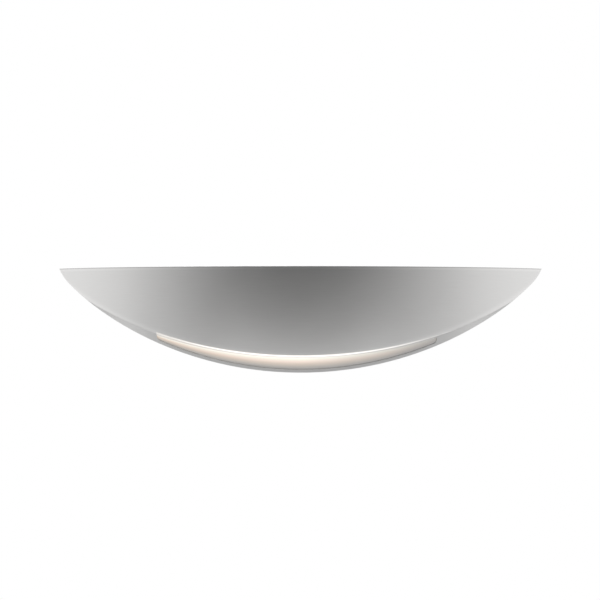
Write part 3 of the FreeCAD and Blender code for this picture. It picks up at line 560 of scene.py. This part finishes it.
def threaded_rod_tree():
    """Threaded rods on points: each stands along the point's rod_way, centred on the point."""
    tree = bpy.data.node_groups.new("threaded_rods", "GeometryNodeTree")
    tree.interface.new_socket(name="Points", in_out="INPUT", socket_type="NodeSocketGeometry")
    for label in ("Radius", "Length", "Pitch", "Depth"):
        tree.interface.new_socket(name=label, in_out="INPUT", socket_type="NodeSocketFloat")
    tree.interface.new_socket(name="Finish", in_out="INPUT", socket_type="NodeSocketMaterial")
    tree.interface.new_socket(name="Rods", in_out="OUTPUT", socket_type="NodeSocketGeometry")
    given = tree.nodes.new("NodeGroupInput").outputs
    out = tree.nodes.new("NodeGroupOutput").inputs

    def add(kind, settings=None, **inputs):
        return add_node(tree, kind, settings, **inputs).outputs

    rod = add("GeometryNodeMeshCylinder", Vertices=20, Side_Segments=72, Radius=given["Radius"],
              Depth=given["Length"])["Mesh"]
    x, y, z = add("ShaderNodeSeparateXYZ", Vector=add("GeometryNodeInputPosition")[0])
    turn = math_of(tree, "DIVIDE", math_of(tree, "ARCTAN2", y, x), 2 * math.pi)
    phase = math_of(tree, "SUBTRACT", math_of(tree, "DIVIDE", z, given["Pitch"]), turn)
    groove = math_of(tree, "MULTIPLY", math_of(tree, "PINGPONG", phase, 0.5), 2.0)
    cut = math_of(tree, "DIVIDE", math_of(tree, "MULTIPLY", groove, given["Depth"]), given["Radius"])
    flat = add("ShaderNodeCombineXYZ", X=x, Y=y)[0]
    inward = add("ShaderNodeVectorMath", {"operation": "SCALE"}, Vector=flat,
                 Scale=math_of(tree, "MULTIPLY", cut, -1.0))[0]
    rod = add("GeometryNodeSetPosition", Geometry=rod, Offset=inward)[0]
    way = add("GeometryNodeInputNamedAttribute", {"data_type": "FLOAT_VECTOR"}, Name="rod_way")["Attribute"]
    lean = add("FunctionNodeAlignRotationToVector", {"axis": "Z"}, Vector=way)[0]
    rods = add("GeometryNodeInstanceOnPoints", Points=given["Points"], Instance=rod, Rotation=lean)[0]
    rods = add("GeometryNodeRealizeInstances", Geometry=rods)[0]
    put(tree, out["Rods"], add("GeometryNodeSetMaterial", Geometry=rods, Material=given["Finish"])[0])
    return tree


rod_tree = threaded_rod_tree()


def threaded_rods(name, places, ways, sizes, cad_node, body):
    """Threaded rods at these places, as one mesh in the place of a node's plain rods."""
    points = bpy.data.meshes.new(name + "_points")
    points.from_pydata(places, [], [])
    along = points.attributes.new("rod_way", "FLOAT_VECTOR", "POINT")
    for spot, way in zip(along.data, ways):
        spot.vector = way
    holder = bpy.data.objects.new(name + "_points", points)
    bpy.context.scene.collection.objects.link(holder)
    modifier = holder.modifiers.new("threads", "NODES")
    modifier.node_group = rod_tree
    sockets = {item.name: item.identifier for item in rod_tree.interface.items_tree if item.in_out == "INPUT"}
    for label, value in {**sizes, "Finish": finishes[slot_of_node[cad_node]]}.items():
        modifier[sockets[label]] = value
    evaluated = holder.evaluated_get(bpy.context.evaluated_depsgraph_get())
    mesh = bpy.data.meshes.new_from_object(evaluated)
    bpy.data.objects.remove(holder)
    stand_in(name, mesh, cad_node, body)


def clip_stud_places():
    """The middle of each plain stud, and the way it stands: square to the curved underside."""
    spots = [vertex.co.copy() for vertex in frame["nodes"]["clip_studs"].data.vertices]
    slot_middle = (slot_left + slot_right) / 2
    places, ways = [], []
    for x in (slot_middle - clip_pitch, slot_middle, slot_middle + clip_pitch):
        near = [spot for spot in spots if abs(spot.x - x) < clip_pitch / 4]
        middle = [(min(c) + max(c)) / 2 for c in zip(*near)]
        lean = math.asin(middle[0] / floor_radius)
        places.append(middle)
        ways.append((-math.sin(lean), 0.0, math.cos(lean)))
    return places, ways


stud_thread = {"Radius": 1.5 * mm, "Length": 5.9 * mm, "Pitch": 0.5 * mm, "Depth": 0.15 * mm}
threaded_rods("threaded_clip_studs", *clip_stud_places(), stud_thread, "clip_studs", "shade")


# --- Studio ---

def studio_world():
    """Pale all round, darker in the part of the room that the front of the shade looks at."""
    world = bpy.data.worlds.new("studio")
    bpy.context.scene.world = world
    world.use_nodes = True
    tree = world.node_tree
    tree.nodes.clear()
    way = node(tree, "SeparateXYZ", Vector=node(tree, "TexCoord").outputs["Generated"]).outputs
    level = grey_ramp(tree, spread(tree, way[1], -1.0, 1.0),
                      [(0.0, 0.05), (0.05, 0.13), (0.2, 0.51), (0.45, 0.89), (0.65, 1.0)])
    low = grey_ramp(tree, spread(tree, way[2], -1.0, 1.0), [(0.3, 0.5), (0.48, 1.0)])
    level = blend_colours(tree, 1.0, level, low, "MULTIPLY")
    mixed = node(tree, "MixShader")
    put(tree, mixed.inputs[0], node(tree, "LightPath").outputs["Is Camera Ray"])
    put(tree, mixed.inputs[1], node(tree, "Background", Color=level, Strength=1.0).outputs[0])
    put(tree, mixed.inputs[2], node(tree, "Background", Color=(*grey(1.0), 1.0), Strength=1.0).outputs[0])
    tree.links.new(mixed.outputs[0], node(tree, "OutputWorld").inputs[0])


def pale_floor(place, reach, fade_from):
    """A pale floor under the sconce that keeps its shadow and fades into the white backdrop further out."""
    bpy.ops.mesh.primitive_circle_add(vertices=96, radius=reach, fill_type="NGON", location=place)
    plate = bpy.context.object
    plate.name = "studio_floor"
    material, tree, shader = finish_tree("studio_floor")
    shader.inputs["Base Color"].default_value = (*grey(0.5), 1.0)
    shader.inputs["Roughness"].default_value = 0.9
    from_middle = vector_of(tree, "LENGTH", object_place(tree)).outputs[1]
    rays = node(tree, "LightPath").outputs
    mirrored = math_of(tree, "ADD", rays["Is Glossy Ray"], rays["Is Transmission Ray"])
    shown = math_of(tree, "ADD", rays["Is Camera Ray"], mirrored, clamp=True)
    mixed = node(tree, "MixShader")
    put(tree, mixed.inputs[0],
        math_of(tree, "MULTIPLY", spread(tree, from_middle, fade_from, 0.98 * reach), shown))
    put(tree, mixed.inputs[1], shader.outputs[0])
    put(tree, mixed.inputs[2], node(tree, "Emission", Color=(*grey(1.0), 1.0), Strength=1.0).outputs[0])
    tree.links.new(mixed.outputs[0], tree.nodes["Material Output"].inputs[0])
    plate.data.materials.append(material)


def fill_card(place, size, level):
    """A glowing card that lies low in front and lifts the foot of the front sheet. Only its upper side shows,
    and the camera doesn't see it."""
    bpy.ops.mesh.primitive_plane_add(size=1.0, location=place)
    card = bpy.context.object
    card.name = "fill_card"
    card.scale = (*size, 1.0)
    card.visible_camera = card.visible_shadow = False
    material = bpy.data.materials.new("fill_card")
    material.use_nodes = True
    tree = material.node_tree
    tree.nodes.clear()
    mixed = node(tree, "MixShader")
    put(tree, mixed.inputs[0], node(tree, "NewGeometry").outputs["Backfacing"])
    put(tree, mixed.inputs[1], node(tree, "Emission", Color=(*grey(1.0), 1.0), Strength=level).outputs[0])
    put(tree, mixed.inputs[2], node(tree, "BsdfTransparent").outputs[0])
    tree.links.new(mixed.outputs[0], node(tree, "OutputMaterial").inputs[0])
    card.data.materials.append(material)


def soft_lamp(name, place, target, size, power):
    data = bpy.data.lights.new(name, "AREA")
    data.shape = "RECTANGLE"
    data.size, data.size_y = size
    data.energy = power
    lamp = bpy.data.objects.new(name, data)
    bpy.context.scene.collection.objects.link(lamp)
    lamp.location = place
    lamp.rotation_euler = (Vector(target) - Vector(place)).to_track_quat("-Z", "Y").to_euler()
    lamp.visible_camera = False


def camera(distance, height, seen_width, side_shift, up_shift):
    """A level camera straight in front; its shifts are in pixels of the picture."""
    picture_width = 600
    data = bpy.data.cameras.new("camera")
    data.sensor_width = 36.0
    data.lens = data.sensor_width * distance / seen_width
    data.shift_x = side_shift / picture_width
    data.shift_y = up_shift / picture_width
    data.clip_end = 100.0
    seen = bpy.data.objects.new("camera", data)
    bpy.context.scene.collection.objects.link(seen)
    seen.location = (0.0, -distance, height)
    seen.rotation_euler = (math.radians(90), 0.0, 0.0)
    bpy.context.scene.camera = seen


studio_world()
pale_floor(place=(0.0, -60 * mm, -360 * mm), reach=0.9, fade_from=0.55)
fill_card(place=(0.03, -0.34, -0.055), size=(0.60, 0.44), level=1.32)
soft_lamp("overhead_light", place=(-0.3, -0.2, 1.3), target=(0.0, -0.05, 0.0), size=(1.0, 0.8), power=8.0)
camera(distance=2.0, height=7.6 * mm, seen_width=497.5 * mm, side_shift=-0.5, up_shift=7.8)

bpy.context.scene.view_settings.view_transform = "Standard"
